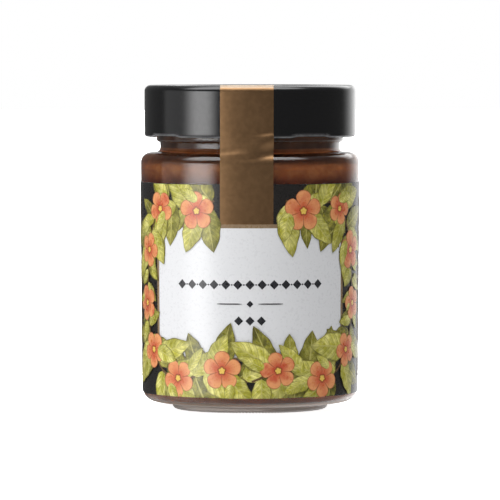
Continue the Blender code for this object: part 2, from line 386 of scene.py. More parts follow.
def jam_look():
    """Jam with pulp in it, with painted light and shade: a painted shadow under the label's upper edge,
    painted shade behind the shoulder's round and in the neck, painted light in the heel and just under
    the neck."""
    look = Look("brown_jam", Roughness=0.5, Specular_IOR_Level=0.1)
    _, y, height = look.split(look.place())
    pulp = look.noise(260.0, 5.0, 0.62)
    cloud = look.noise(70.0, 3.0)
    brown = look.blend(look.step(pulp, 0.35, 0.7), (0.185, 0.053, 0.0125), (0.27, 0.095, 0.029))
    brown = look.blend(look.step(cloud, 0.35, 0.7), brown, (0.215, 0.056, 0.0135))
    # Painted shadow under the label's upper edge, only where the label is in front of the jam
    in_front = look.step(y, 18.0 * MM, 25.0 * MM, 1.0, 0.0)
    label_shadow = look.times(look.band(height, JAM_LABEL_SHADOW), in_front)
    brown = look.tint(label_shadow, brown, (0.6, 0.38, 0.4))
    # Painted light in the heel
    heel_light = look.step(height, 7.0 * MM, 9.5 * MM, 1.0, 0.0)
    brown = look.tint(heel_light, brown, (1.8, 1.9, 1.7))
    # Painted shade behind the shoulder's round, then painted light just under the neck
    brown = look.tint(look.band(height, JAM_ROUND_SHADE), brown, (0.5, 0.58, 1.0))
    brown = look.tint(look.band(height, JAM_NECK_LIGHT), brown, (1.9, 1.75, 1.8))
    # Painted shade in the neck, under the lid
    neck_shade = look.step(height, 68.8 * MM, 69.5 * MM)
    look.feed("Base Color", look.tint(neck_shade, brown, (0.4, 0.5, 0.85)))
    look.bump(pulp, 0.5, 0.5 * MM)
    return look.material


def lid_look():
    """Black lacquer, with a faint unevenness that blurs its reflections."""
    look = Look("black_lacquer", Base_Color=(0.008, 0.008, 0.0085), IOR=1.5)
    speck = look.noise(900.0, 2.0)
    look.feed("Roughness", look.step(speck, 0.3, 0.8, 0.13, 0.2))
    look.bump(look.noise(1500.0, 1.0), 0.06, 0.05 * MM)
    return look.material


def grey_roll_look():
    """The lacquer on the lid's rolled edge, a lighter, mottled grey."""
    look = Look("grey_roll_lacquer", IOR=1.5, Roughness=0.4)
    patches = look.noise(500.0, 4.0, 0.65)
    grey = look.blend(look.step(patches, 0.3, 0.6), (0.07, 0.07, 0.072), (0.15, 0.15, 0.155))
    look.feed("Base Color", grey)
    look.bump(patches, 0.1, 0.05 * MM)
    return look.material


def finish_paper(look, roughness=PAPER_ROUGHNESS):
    """The varnish on printed paper: a soft gloss with fine fibres under it."""
    fibre = look.noise(1400.0, 4.0, 0.6)
    look.feed("Roughness", look.step(fibre, 0.2, 0.8, *roughness))
    look.bump(fibre, 0.025, 0.03 * MM)
    return look.material


def ink_look(name, colour, shade=0.85):
    """One flat ink with the faint mottle of print."""
    look = Look(name, IOR=1.5)
    mottle = look.noise(700.0, 3.0)
    darker = tuple(part * shade for part in colour)
    look.feed("Base Color", look.blend(look.step(mottle, 0.3, 0.75), darker, colour))
    return finish_paper(look)


def bronze_look():
    """The bronze ink, with a painted highlight where the tongue folds over the lid's edge: there it turns
    pale and not metallic, in mottled patches.
    """
    look = Look("bronze_ink", IOR=1.5)
    _, _, height = look.split(look.place())
    mottle = look.noise(700.0, 3.0)
    ink = look.blend(look.step(mottle, 0.3, 0.75), (0.24, 0.139, 0.068), (0.28, 0.162, 0.08))
    patches = look.noise(450.0, 4.0, 0.65)
    patchy = look.step(patches, 0.25, 0.55, 0.35, 1.0)
    # Painted highlight: the fold over the lid's edge turns a pale paper colour in patches, where light
    # catches it
    fold = look.step(height, LID_TOP - 0.75 * MM, LID_TOP - 0.3 * MM)
    fold = look.times(fold, look.step(height, LID_TOP + 0.1 * MM, LID_TOP + 0.16 * MM, 1.0, 0.0))
    painted_highlight = look.times(fold, patchy)
    look.feed("Metallic", look.math("SUBTRACT", 1.0, painted_highlight))
    look.feed("Base Color", look.blend(painted_highlight, ink, (0.39, 0.29, 0.2)))
    return finish_paper(look, BRONZE_ROUGHNESS)


def leaf_look():
    """Leaves drawn in two greens, with a pale midrib, side veins, shaded halves and a dark rim."""
    look = Look("leaf_print", IOR=1.5)
    u, v, _ = look.split(look.node("UVMap", uv_map="print").outputs[0])
    tone = look.node("Attribute", attribute_name="tone").outputs["Fac"]
    side = look.math("SUBTRACT", look.times(v, 2.0), 1.0)
    off = look.math("ABSOLUTE", side)
    wash = look.noise(420.0, 4.0, 0.6)
    fine = look.noise(1900.0, 3.0, 0.6)
    light = look.blend(look.step(wash, 0.35, 0.68), (0.5, 0.47, 0.05), (0.85, 0.8, 0.27))
    deep = look.blend(look.step(wash, 0.35, 0.7), (0.13, 0.12, 0.024), (0.42, 0.39, 0.06))
    green = look.blend(look.step(tone, 0.25, 0.85), light, deep)
    slant = look.add(look.times(u, 7.0), look.times(off, -1.7))
    wave = look.math("FRACT", slant)
    vein = look.step(look.math("ABSOLUTE", look.math("SUBTRACT", wave, 0.5)), 0.0, 0.09, 1.0, 0.0)
    pucker = look.step(wave, 0.0, 1.0, 0.0, 0.35)
    green = look.tint(pucker, green, (0.38, 0.37, 0.24))
    half = look.step(side, -0.1, 0.15, 0.0, 0.4)
    green = look.tint(half, green, (0.42, 0.44, 0.25))
    green = look.blend(look.times(vein, 0.55), green, (0.07, 0.07, 0.012))
    shade = look.step(fine, 0.5, 0.8, 0.0, 0.3)
    green = look.blend(shade, green, (0.1, 0.1, 0.02))
    rib = look.step(off, 0.03, 0.1, 0.8, 0.0)
    green = look.blend(rib, green, (0.5, 0.46, 0.14))
    rim = look.step(off, 0.84, 0.99, 0.0, 0.75)
    tip = look.step(u, 0.8, 1.0, 0.0, 0.5)
    edge = look.math("MAXIMUM", rim, tip)
    look.feed("Base Color", look.blend(edge, green, (0.085, 0.07, 0.016)))
    return finish_paper(look)


def blossom_look():
    """Blossoms drawn in orange: five pale-tipped petals with red veins, creases and a yellow eye."""
    look = Look("blossom_print", IOR=1.5)
    uv = look.node("UVMap", uv_map="print").outputs[0]
    centred = look.node("VectorMath", {0: uv, 1: (0.5, 0.5, 0.0)}, operation="SUBTRACT").outputs[0]
    from_middle = look.node("VectorMath", {0: centred}, operation="LENGTH").outputs["Value"]
    sideways, upwards, _ = look.split(centred)
    heading = look.math("ARCTAN2", upwards, sideways)
    tone = look.node("Attribute", attribute_name="tone").outputs["Fac"]
    wash = look.noise(330.0, 4.0, 0.6)
    fine = look.noise(1500.0, 4.0, 0.65)
    orange = look.blend(look.step(from_middle, 0.1, 0.42), (0.58, 0.12, 0.05), (0.76, 0.33, 0.135))
    blush = look.times(look.step(wash, 0.45, 0.68), look.step(tone, 0.0, 1.0, 0.35, 0.75))
    orange = look.blend(blush, orange, (0.52, 0.06, 0.03))
    orange = look.blend(look.step(fine, 0.55, 0.75, 0.0, 0.3), orange, (0.42, 0.065, 0.03))
    ray = look.math("ABSOLUTE", look.math("SINE", look.times(heading, 15.0)))
    vein = look.times(look.step(ray, 0.0, 0.3, 0.5, 0.0), look.step(from_middle, 0.12, 0.4, 1.0, 0.0))
    orange = look.blend(vein, orange, (0.36, 0.04, 0.02))
    petal = look.math("ABSOLUTE", look.math("COSINE", look.times(heading, PETALS / 2)))
    orange = look.blend(look.step(petal, 0.0, 0.24, 0.7, 0.0), orange, (0.26, 0.045, 0.02))
    ring = look.step(from_middle, 0.1, 0.14, 0.8, 0.0)
    orange = look.blend(ring, orange, (0.2, 0.05, 0.015))
    eye = look.step(from_middle, 0.075, 0.09, 1.0, 0.0)
    orange = look.blend(eye, orange, (0.78, 0.52, 0.1))
    rim = look.step(from_middle, 0.465, 0.5, 0.0, 0.75)
    look.feed("Base Color", look.blend(rim, orange, (0.24, 0.06, 0.025)))
    return finish_paper(look)


def make_looks():
    return {
        "glass": glass_look(),
        "jam": jam_look(),
        "lid": lid_look(),
        "patchy": grey_roll_look(),
        "bronze": bronze_look(),
        "border": ink_look("border_ink", (0.28, 0.19, 0.11)),
        "black": ink_look("black_ink", (0.016, 0.014, 0.013)),
        "white": ink_look("white_paper", (0.745, 0.75, 0.765), 0.985),
        "edge": ink_look("paper_edge", (0.8, 0.76, 0.7), 0.95),
        "leaf": leaf_look(),
        "blossom": blossom_look(),
        "stem": ink_look("stem_ink", (0.13, 0.075, 0.03)),
        "dark": ink_look("dark_ink", (0.022, 0.022, 0.026)),
        "lattice": ink_look("lattice_ink", (0.16, 0.105, 0.055)),
    }


# Glass


def stipple(radius, height, share=1.0):
    """A point of the foot ring, lifted and drawn in between its small feet by a share."""

    def place(angle):
        lift = share * (0.5 - 0.5 * math.cos(STIPPLES * angle))
        return (radius - STIPPLE_DEPTH * lift / 2, height + STIPPLE_DEPTH * lift)

    return place


def thread_point(outwards, upwards):
    """A corner of the thread ridges: each start climbs over its share of a turn, then fades out."""

    def place(angle):
        share = angle * THREAD_STARTS / (2 * math.pi) % 1.0
        along = min(share / THREAD_SHARE, 1.0)
        back = max(share - THREAD_SHARE, 0.0) / (1 - THREAD_SHARE)
        climb = THREAD_RISE * (along - ease(back) - 0.5)
        fade = ease(THREAD_FADE * min(along, 1 - along))
        radius = FINISH_RADIUS + THREAD_DEPTH * outwards * fade
        return (radius, THREAD_HEIGHT + climb + THREAD_THICKNESS * upwards)

    return place


def body_radius(height):
    """The glass body's radius, which narrows a little towards the heel and rounds under there."""
    if height < HEEL_HEIGHT:
        drop = HEEL_HEIGHT - height
        return HEEL_RADIUS - HEEL_ROUND + math.sqrt(HEEL_ROUND**2 - drop**2)
    share = (height - HEEL_HEIGHT) / (SHOULDER_HEIGHT - SHOULDER_ROUND - HEEL_HEIGHT)
    return mix(HEEL_RADIUS, BODY_RADIUS, min(share, 1.0))


def glass_underside():
    foot_outer = FOOT_OUTER - FOOT_ROUND
    foot_inner = FOOT_INNER + FOOT_ROUND
    foot_middle = (foot_outer + foot_inner) / 2
    inner_edge = arc(foot_inner, FOOT_ROUND, FOOT_ROUND, 180, 270, 6)
    outer_edge = arc(foot_outer, FOOT_ROUND, FOOT_ROUND, -90, 0, 8)
    heel_centre = HEEL_RADIUS - HEEL_ROUND
    return [
        (0, PUSH_UP * 1.15),
        (FOOT_INNER / 2, PUSH_UP * 1.1),
        *inner_edge[:-2],
        *[stipple(*point) for point in inner_edge[-2:]],
        stipple(foot_middle, 0.0),
        *[stipple(*point, 1 - step / 8) for step, point in enumerate(outer_edge)],
        (FOOT_OUTER + 0.1 * MM, FOOT_HEIGHT - 0.2 * MM),
        (FOOT_OUTER + 0.4 * MM, FOOT_HEIGHT),
        *arc(heel_centre, HEEL_HEIGHT, HEEL_ROUND, -90, 0, 16),
    ]


def glass_outside():
    shoulder_centre = BODY_RADIUS - SHOULDER_ROUND
    shoulder_level = SHOULDER_HEIGHT - SHOULDER_ROUND
    fillet_centre = NECK_RADIUS + NECK_FILLET
    bead_centre = FINISH_RADIUS - BEAD_ROUND
    thread = [(0, -0.5), (0.6, -0.38), (1, -0.18), (1, 0.18), (0.6, 0.38), (0, 0.5)]
    return [
        *glass_underside(),
        *arc(shoulder_centre, shoulder_level, SHOULDER_ROUND, 0, 90, 14),
        *arc(fillet_centre, SHOULDER_HEIGHT + NECK_FILLET, NECK_FILLET, 270, 180, 10),
        *arc(bead_centre, NECK_TOP + BEAD_ROUND, BEAD_ROUND, -90, 0, 8),
        *[thread_point(*corner) for corner in thread],
        *arc(FINISH_RADIUS - RIM_ROUND, RIM_HEIGHT - RIM_ROUND, RIM_ROUND, 0, 90, 6),
    ]


def glass_inside(inset=0.0):
    """The cavity wall from the bore down to the floor, moved into the cavity by an inset."""
    shoulder_level = SHOULDER_HEIGHT - WALL - INNER_SHOULDER_ROUND
    shoulder_centre = BODY_RADIUS - WALL - INNER_SHOULDER_ROUND
    lip = SHOULDER_HEIGHT - WALL + RIM_ROUND
    floor_centre = HEEL_RADIUS - WALL - INNER_HEEL_ROUND
    floor_level = FLOOR_TOP + INNER_HEEL_ROUND
    return [
        *arc(BORE_RADIUS + RIM_ROUND, lip, RIM_ROUND + inset, 180, 270, 8),
        *arc(shoulder_centre, shoulder_level, INNER_SHOULDER_ROUND - inset, 90, 0, 12),
        *arc(floor_centre, floor_level, INNER_HEEL_ROUND - inset, 0, -90, 12),
    ]


def make_glass(looks):
    rim = arc(BORE_RADIUS + RIM_ROUND, RIM_HEIGHT - RIM_ROUND, RIM_ROUND, 90, 180, 6)
    section = [*glass_outside(), *rim, *glass_inside(), (0, FLOOR_TOP)]
    body = turned(section, GLASS_SEGMENTS)
    new_piece("jar_glass", body, [looks["glass"]], "glass_jar")


def make_jam(looks):
    side = BORE_RADIUS + JAM_INTO_GLASS
    section = [
        (0, JAM_HEIGHT - 0.6 * MM),
        (side - 4.0 * MM, JAM_HEIGHT - 0.6 * MM),
        (side - 1.2 * MM, JAM_HEIGHT - 0.4 * MM),
        (side, JAM_HEIGHT),
        *glass_inside(-JAM_INTO_GLASS),
        (0, FLOOR_TOP - JAM_INTO_GLASS),
    ]
    new_piece("jam_filling", turned(section, JAM_SEGMENTS), [looks["jam"]], "jam")


# Lid


def lug_share(angle):
    """How far a place on the lid's curl is pressed into a lug, from 0 to 1."""
    apart = 2 * math.pi / LUGS
    off = abs((angle - LUG_ANGLE + apart / 2) % apart - apart / 2)
    return ease((LUG_HALF_WIDTH - off) / LUG_SLOPE)


def roll_point(plain, pressed):
    """A point of the rolled edge, from two places in millimetres, inwards from the skirt and up from
    the lid's foot: its place where the roll is plain, and its place where a lug is pressed in."""

    def place(angle):
        share = lug_share(angle)
        inwards, upwards = (mix(one, other, share) for one, other in zip(plain, pressed))
        return (LID_RADIUS - inwards * MM, LID_BOTTOM + upwards * MM)

    return place


def lid_outside():
    panel = LID_TOP - PANEL_DROP
    foot = CHANNEL_RADIUS - CHANNEL_SLOPE
    button_foot = BUTTON_RADIUS - BUTTON_SLOPE
    slope = [
        (mix(foot, CHANNEL_RADIUS, step / 10), mix(panel, LID_TOP, ease(step / 10)))
        for step in range(11)
    ]
    button = [
        (mix(button_foot, BUTTON_RADIUS, step / 8), panel - BUTTON_DROP * (1 - ease(step / 8)))
        for step in range(9)
    ]
    edge = LID_RADIUS - LID_EDGE_ROUND
    return [
        (0, panel - BUTTON_DROP),
        *button,
        *slope,
        *arc(edge, LID_TOP - LID_EDGE_ROUND, LID_EDGE_ROUND, 90, 0, 12),
    ]


# The rolled edge from the skirt's foot round to the inside: the plain place, then the pressed one
ROLL = (
    ((0.0, 2.4), (0.0, 2.4)),
    ((0.0, 1.7), (0.0, 1.7)),
    ((0.0, 1.25), (0.0, 1.25)),
    ((0.02, 0.7), (0.05, 1.08)),
    ((0.06, 0.46), (0.5, 0.98)),
    ((0.12, 0.34), (0.5, 0.8)),
    ((0.24, 0.2), (0.48, 0.62)),
    ((0.42, 0.08), (0.56, 0.46)),
    ((0.75, 0.0), (0.9, 0.36)),
    ((1.08, 0.08), (1.4, 0.4)),
    ((1.36, 0.3), (1.75, 0.55)),
    ((1.5, 0.7), (1.9, 0.9)),
    ((1.42, 1.05), (1.8, 1.2)),
    ((0.9, 1.3), (1.2, 1.5)),
    ((0.35, 1.5), (0.4, 2.0)),
)
# The steps of the roll that are a lighter, mottled grey
ROLL_GREY = range(4, 7)


def lid_curl():
    """The rolled lower edge, from the foot of the skirt round under it and up inside. At a lug the
    skirt ends higher, and the roll under it is pressed in."""
    return [roll_point(plain, pressed) for plain, pressed in ROLL]


def make_lid(looks):
    inner_edge = LID_RADIUS - SHEET
    outside = lid_outside()
    section = [
        *outside,
        *lid_curl(),
        (inner_edge, LID_BOTTOM + SKIRT_INSIDE_FOOT),
        (inner_edge, CHANNEL_UNDERSIDE - SHEET),
        (inner_edge - SHEET, CHANNEL_UNDERSIDE),
        (CHANNEL_RADIUS - SHEET, CHANNEL_UNDERSIDE),
        (CHANNEL_RADIUS - CHANNEL_SLOPE - SHEET, LID_TOP - PANEL_DROP - SHEET),
        (BUTTON_RADIUS, LID_TOP - PANEL_DROP - SHEET),
        (BUTTON_RADIUS - BUTTON_SLOPE, LID_TOP - PANEL_DROP - BUTTON_DROP - SHEET),
        (0, LID_TOP - PANEL_DROP - BUTTON_DROP - SHEET),
    ]
    worn = [len(outside) + step for step in ROLL_GREY]
    body = turned(section, LID_SEGMENTS, worn)
    new_piece("lid_shell", body, [looks["lid"], looks["patchy"]], "lid")


# Label


def path_of(points):
    """A section's points with the length along it, from the label's lower edge."""
    lengths = [points[0][1]]
    for one, other in zip(points, points[1:]):
        lengths.append(lengths[-1] + math.dist(one, other))
    return list(zip(lengths, points))


def label_section():
    """Where the paper lies: up the body, over the neck in a shallow sag, and up the lid's skirt."""
    heel = [LABEL_BOTTOM + (HEEL_HEIGHT - LABEL_BOTTOM) * step / 4 for step in range(5)]
    shoulder = SHOULDER_HEIGHT - SHOULDER_ROUND
    points = [(body_radius(height) + GLUE, height) for height in heel]
    points.append((BODY_RADIUS + GLUE, shoulder))
    steps = 16
    for step in range(1, steps + 1):
        share = step / steps
        radius = mix(BODY_RADIUS, LID_RADIUS, ease(share))
        radius -= TONGUE_SAG * math.sin(math.pi * share) ** 2
        points.append((radius + GLUE, mix(shoulder, LID_BOTTOM, share)))
    edge = LID_RADIUS - LID_EDGE_ROUND
    points += arc(edge, LID_TOP - LID_EDGE_ROUND, LID_EDGE_ROUND + GLUE, 0, 90, 16)
    return path_of(points)


SECTION = label_section()
SECTION_LENGTH = SECTION[-1][0]
TONGUE_MIDDLE = (TONGUE_LEFT + TONGUE_RIGHT) / 2
TONGUE_HALF = (TONGUE_RIGHT - TONGUE_LEFT) / 2
SPAN_LOW = SHOULDER_HEIGHT - SHOULDER_ROUND
SPAN_HIGH = LID_BOTTOM + 1.5 * MM
FREE_LOW = SPAN_LOW + 1.2 * MM
FREE_HIGH = LID_BOTTOM + 2.0 * MM


def section_at(length):
    """Radius, height and outward direction at a length along the section."""
    for (low, one), (high, other) in zip(SECTION, SECTION[1:]):
        if length <= high:
            break
    share = (length - low) / (high - low)
    rise = (other[0] - one[0], other[1] - one[1])
    size = math.hypot(*rise)
    outward = (rise[1] / size, -rise[0] / size)
    return mix(one[0], other[0], share), mix(one[1], other[1], share), outward


# The tongue's folds in millimetres: along the label, up it, direction in degrees, width, length
# and depth
FOLDS = (
    (3.4, 71.4, 38, 2.1, 5.5, 0.36),
    (-1.5, 68.6, 22, 2.5, 8.0, 0.32),
    (5.0, 67.6, 35, 1.7, 4.0, -0.2),
)


def crease(angle, length):
    """How far the tongue stands off where it spans the neck, in soft folds that run aslant."""
    free = ease((length - FREE_LOW) / (1.5 * MM)) * ease((FREE_HIGH - length) / (1.5 * MM))
    if free == 0:
        return 0.0
    lift = 0.0
    for along, up, direction, width, reach, depth in FOLDS:
        off = Vector((angle * BODY_RADIUS / MM - along, length / MM - up))
        off = turn(off, -math.radians(direction))
        lift += depth * math.exp(-((off.x / reach) ** 2) - (off.y / width) ** 2)
    return free * lift * MM


def keep_width(angle, radius):
    """The angle at which a place of the tongue lies where its radius isn't the label's."""
    return TONGUE_MIDDLE + (angle - TONGUE_MIDDLE) * BODY_RADIUS / radius


def on_label(angle, length, out):
    """A place on the label or its tongue: an angle, a length up from the lower edge, a lift off it."""
    if length <= SECTION_LENGTH:
        radius, height, outward = section_at(length)
        out += crease(angle, length)
        if length > LABEL_TOP:
            angle = keep_width(angle, radius)
        return around(radius + outward[0] * out, height + outward[1] * out, angle)
    edge = LID_RADIUS - LID_EDGE_ROUND
    off = keep_width(angle, edge) - TONGUE_MIDDLE
    sideways = edge * math.sin(off)
    forwards = -edge * math.cos(off) + length - SECTION_LENGTH
    settled = ease((CHANNEL_RADIUS - math.hypot(sideways, forwards)) / TONGUE_SETTLE)
    height = LID_TOP + GLUE + out - PANEL_DROP * settled
    turned_x = sideways * math.cos(TONGUE_MIDDLE) - forwards * math.sin(TONGUE_MIDDLE)
    turned_y = sideways * math.sin(TONGUE_MIDDLE) + forwards * math.cos(TONGUE_MIDDLE)
    return Vector((turned_x, turned_y, height))


def steps_between(stops, size):
    """Values from each stop to the next, in equal steps no larger than a size."""
    values = [stops[0]]
    for low, high in zip(stops, stops[1:]):
        count = max(1, math.ceil((high - low) / size))
        values += [mix(low, high, step / count) for step in range(1, count + 1)]
    return values


def make_paper(looks):
    """The label's paper with its tongue, in rows and columns that follow its fields of colour."""
    border = BORDER / LABEL_RADIUS
    sides = (PANEL_SIDE, PANEL_SIDE + border)
    stops = sorted((-LABEL_END, -sides[1], -sides[0], TONGUE_LEFT, TONGUE_RIGHT, *sides, LABEL_END))
    columns = steps_between(stops, COLUMN)
    body_stops = (LABEL_BOTTOM, HEEL_HEIGHT, PANEL_BOTTOM - BORDER, PANEL_BOTTOM)
    body_stops += (PANEL_TOP, PANEL_TOP + BORDER, LABEL_TOP)
    rows = steps_between(body_stops, BODY_ROW)
    on_skirt = SPAN_HIGH + 2 * MM
    tongue_rows = steps_between((LABEL_TOP, SPAN_LOW), SHOULDER_ROW)[1:]
    tongue_rows += steps_between((SPAN_LOW, on_skirt), NECK_ROW)[1:]
    tongue_rows += steps_between((on_skirt, SECTION_LENGTH), LID_ROW)[1:]
    tongue = [a for a in columns if TONGUE_LEFT - NEARLY <= a <= TONGUE_RIGHT + NEARLY]
    first = columns.index(tongue[0])
    body = bmesh.new()
    grid = [[body.verts.new(on_label(a, row, 0.0)) for a in columns] for row in rows]
    strip = [grid[-1][first : first + len(tongue)]]
    strip += [[body.verts.new(on_label(a, row, 0.0)) for a in tongue] for row in tongue_rows]
    for step in range(1, LID_TOP_ROWS + 1):
        row = []
        for angle in tongue:
            off = (angle - TONGUE_MIDDLE) / TONGUE_HALF
            edge = LID_RADIUS - LID_EDGE_ROUND
            start = edge * (1 - math.cos(keep_width(angle, edge) - TONGUE_MIDDLE))
            reach = TONGUE_REACH - start - TONGUE_CORNER * abs(off) ** 4
            length = SECTION_LENGTH + reach * step / LID_TOP_ROWS
            row.append(body.verts.new(on_label(angle, length, 0.0)))
        strip.append(row)
    bronze, black, white, line = range(4)

    def field(angle, height):
        inside = abs(angle) < sides[0] and PANEL_BOTTOM < height < PANEL_TOP
        near = abs(angle) < sides[1] and PANEL_BOTTOM - BORDER < height < PANEL_TOP + BORDER
        if inside:
            return white
        if near:
            return line
        above = height > PANEL_TOP and TONGUE_LEFT < angle < TONGUE_RIGHT
        return bronze if above else black

    for index, (lower, higher) in enumerate(zip(grid, grid[1:])):
        middle_height = (rows[index] + rows[index + 1]) / 2
        for column in range(len(columns) - 1):
            middle_angle = (columns[column] + columns[column + 1]) / 2
            face = body.faces.new(corners_of(lower, higher, column))
            face.material_index = field(middle_angle, middle_height)
    for lower, higher in zip(strip, strip[1:]):
        for column in range(len(tongue) - 1):
            body.faces.new(corners_of(lower, higher, column)).material_index = bronze
    inks = [looks[name] for name in ("bronze", "black", "white", "border", "edge")]
    piece = new_piece("label_paper", body, inks, "label")
    thicken(piece, PAPER, 1.0, len(inks))


# Print


class Sheet:
    """A flat sheet of printed motifs. Places on it are in metres: along the label from the front's
    middle, and up it from the foot of the jar. Each motif lies just above the ones it overlaps,
    which it knows from circles that cover each motif, kept in a list that the sheets share."""

    def __init__(self, placed):
        self.body = bmesh.new()
        self.uv = self.body.loops.layers.uv.new("print")
        self.tone = self.body.verts.layers.float.new("tone")
        self.placed = placed

    def layer_for(self, places, reach):
        layer = 1
        for other, size, below in self.placed:
            if below >= layer and any((other - place).length < size + reach for place in places):
                layer = below + 1
        self.placed += [(place, reach, layer) for place in places]
        return layer

    def add(self, rows, tone, layer):
        """Joins rows of (place, u, v) into a grid of faces."""
        made = []
        for row in rows:
            line = []
            for place, u, v in row:
                vertex = self.body.verts.new((place.x, place.y, layer))
                vertex[self.tone] = tone
                line.append((vertex, u, v))
            made.append(line)
        for one, other in zip(made, made[1:]):
            for index in range(len(one) - 1):
                corners = corners_of(one, other, index)
                face = self.body.faces.new([corner[0] for corner in corners])
                for loop, corner in zip(face.loops, corners):
                    loop[self.uv].uv = corner[1:]

    def trim(self, place, outwards):
        """Cuts off what lies beyond a line across the sheet."""
        everything = [*self.body.verts, *self.body.edges, *self.body.faces]
        bmesh.ops.bisect_plane(
            self.body, geom=everything, plane_co=place, plane_no=outwards, clear_outer=True
        )


def add_leaf(sheet, foot, angle, length, width, bend, tone):
    """An almond-shaped leaf from its foot, with a bent midrib and a faintly wavy edge."""
    middles = [foot + turn(Vector((length * share, 0)), angle) for share in (0.15, 0.4, 0.65, 0.9)]
    layer = sheet.layer_for(middles, width * 0.45)
    along = 20
    across = 8
    rows = []
    for step in range(along + 1):
        u = step / along
        half = width / 2 * 2.05 * u**0.58 * (1 - u) ** 0.92 * (1 + 0.05 * math.sin(19 * u + 9 * tone))
        half = max(half, 0.02 * MM)
        line = []
        for side in range(across + 1):
            v = 2 * side / across - 1
            flat = Vector((length * u, half * v + bend * length * (u * u - u * 0.3)))
            line.append((foot + turn(flat, angle), u, 0.5 + 0.5 * v))
        rows.append(line)
    sheet.add(rows, tone, layer)


def add_blossom(sheet, centre, radius, tilt, tone):
    """A flat blossom, drawn as rings of a disc whose rim swings out to five round petals."""
    layer = sheet.layer_for([centre], radius)
    rings = 5
    around_it = 12 * PETALS
    rows = []
    for ring in range(rings + 1):
        share = ring / rings
        line = []
        for step in range(around_it + 1):
            angle = 2 * math.pi * step / around_it
            spot = Vector((share * math.cos(angle), share * math.sin(angle)))
            lobe = abs(math.cos(PETALS / 2 * angle)) ** PETAL_ROUNDNESS
            swing = mix(PETAL_WAIST, 1.0, lobe)
            place = centre + radius * swing * turn(spot, tilt)
            line.append((place, 0.5 + 0.5 * spot.x, 0.5 + 0.5 * spot.y))
        rows.append(line)
    sheet.add(rows, tone, layer)


def add_line(sheet, places, width, tone, layer, taper=0.65):
    """A drawn line of a width through places, with tapering ends."""
    rows = []
    for index, place in enumerate(places):
        before = places[max(index - 1, 0)]
        after = places[min(index + 1, len(places) - 1)]
        direction = (after - before).normalized()
        normal = Vector((-direction.y, direction.x))
        share = index / (len(places) - 1)
        half = width / 2 * min(1.0, 1 - taper + 4 * min(share, 1 - share))
        rows.append([(place - normal * half, share, 0.0), (place + normal * half, share, 1.0)])
    sheet.add(rows, tone, layer)


def add_lozenge(sheet, centre, half_width, half_height, layer=2):
    steps = 4
    rows = []
    for row in range(steps + 1):
        line = []
        for column in range(steps + 1):
            a, b = row / steps - 0.5, column / steps - 0.5
            spot = Vector(((a + b) * half_width, (a - b) * half_height))
            line.append((centre + spot, row / steps, column / steps))
        rows.append(line)
    sheet.add(rows, 0.5, layer)


def smooth_path(points, size):
    """A curve through points, with a place every so often along it."""
    places = []
    ends = [2 * points[0] - points[1], *points, 2 * points[-1] - points[-2]]
    for before, one, other, after in zip(ends, ends[1:], ends[2:], ends[3:]):
        count = max(2, round((other - one).length / size))
        for step in range(count):
            t = step / count
            places.append(
                0.5
                * (
                    2 * one
                    + (other - before) * t
                    + (2 * before - 5 * one + 4 * other - after) * t * t
                    + (3 * one - before - 3 * other + after) * t**3
                )
            )
    places.append(points[-1])
    return places


# The garland's stem in millimetres for the right half, from beside the tongue round the panel
GARLAND = (
    (9.5, 56), (16, 53), (23, 55.5), (29, 52), (32.5, 45), (34, 36),
    (34.5, 27), (31.5, 18), (26, 11), (18, 9.5), (9, 12), (0.5, 9),
)
# The stretch beside the panel where the leaves are short, as shares of the stem's length
GARLAND_WAIST = (0.33, 0.6)
WAIST_LEAF = 0.5
# Where along the stem a blossom sits, evenly spaced as shares of its length
BLOSSOMS = (0.07, 0.213, 0.357, 0.5, 0.643, 0.787, 0.93)
BLOSSOM_SIZES = (4.3, 5.5)
# Rows of leaves: how many, their spread in degrees, their lengths in millimetres, their tones from
# light to dark, and how far from the stem they start, in millimetres
LEAVES_BELOW = (34, (40, 110), (9.0, 14.0), (0.5, 1.0), 0.0)
LEAVES_ABOVE = (26, (25, 80), (8.5, 14.0), (0.0, 0.5), 0.4)
LEAVES_ON_TOP = (9, (35, 80), (5.5, 8.0), (0.0, 0.3), 2.5)
# The stem is drawn in short parts, so that each lies on what it crosses
STEM_PART = 6
STEM_WIDTH = 0.55 * MM


def garland_half(leaves, blossoms, stems, side, draw):
    """Half of a garland round the panel: dark leaves, a stem, light leaves, blossoms and small leaves."""
    points = [Vector((side * x * MM, y * MM)) for x, y in GARLAND]
    path = smooth_path(points, 0.8 * MM)
    last = len(path) - 2

    def spot(share):
        index = min(int(share * last), last)
        return path[index], math.atan2(*(path[index + 1] - path[index]).yx)

    def row_of_leaves(count, spreads, lengths, tones, reach):
        for index in range(count):
            place, heading = spot((index + draw.uniform(0.2, 0.8)) / count)
            way = 1 if index % 2 else -1
            angle = heading + way * math.radians(draw.uniform(*spreads))
            length = draw.uniform(*lengths) * MM
            if GARLAND_WAIST[0] < (index + 0.5) / count < GARLAND_WAIST[1]:
                length *= WAIST_LEAF
            foot = place + turn(Vector((reach * MM, 0)), angle)
            width = length * draw.uniform(0.54, 0.78)
            bend = -way * draw.uniform(0.05, 0.22)
            add_leaf(leaves, foot, angle, length, width, bend, draw.uniform(*tones))

    row_of_leaves(*LEAVES_BELOW)
    for start in range(0, len(path) - 1, STEM_PART):
        part = path[start : start + STEM_PART + 1]
        add_line(stems, part, STEM_WIDTH, 0.4, stems.layer_for(part, 0.3 * MM), 0.0)
    row_of_leaves(*LEAVES_ABOVE)
    for share in BLOSSOMS:
        radius = draw.uniform(*BLOSSOM_SIZES) * MM
        add_blossom(blossoms, spot(share)[0], radius, draw.uniform(-1, 1), draw.random())
    row_of_leaves(*LEAVES_ON_TOP)


